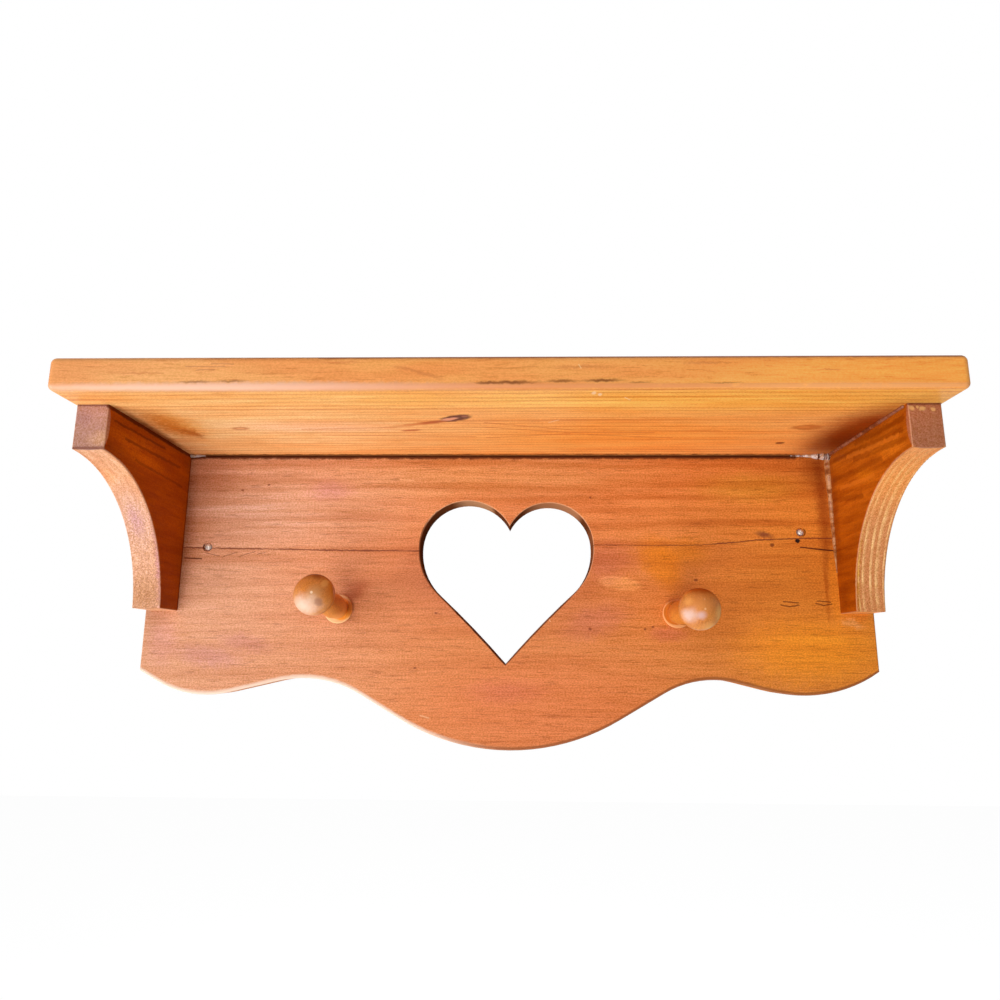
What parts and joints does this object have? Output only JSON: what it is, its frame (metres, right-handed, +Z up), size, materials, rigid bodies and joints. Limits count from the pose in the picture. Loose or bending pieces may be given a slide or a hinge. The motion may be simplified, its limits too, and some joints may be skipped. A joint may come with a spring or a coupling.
{
  "type": "shaker peg rail with shelf",
  "caption": "Wooden wall shelf on cut-out brackets with a scalloped, heart-pierced backboard and turned pegs for hanging things.",
  "frame": {"origin": "middle of the backboard's top back edge, where the wall meets the shelf's underside", "axes": "+X along the shelf to the right as seen from the room, +Y into the wall, +Z up"},
  "size_m": [0.504, 0.186, 0.2226],
  "materials": {
    "pine_board": "satin honey varnish",
    "turned_wood": "gloss varnish",
    "steel_screw": "dull zinc"
  },
  "bodies": {
    "root": {"shelf_board": "pine_board", "back_board": "pine_board", "left_bracket": "pine_board", "right_bracket": "pine_board", "left_peg": "turned_wood", "right_peg": "turned_wood", "wall_screws": "steel_screw", "bracket_screws": "steel_screw", "shelf_screws": "steel_screw", "shelf_plugs": "pine_board"}
  },
  "joints": []
}
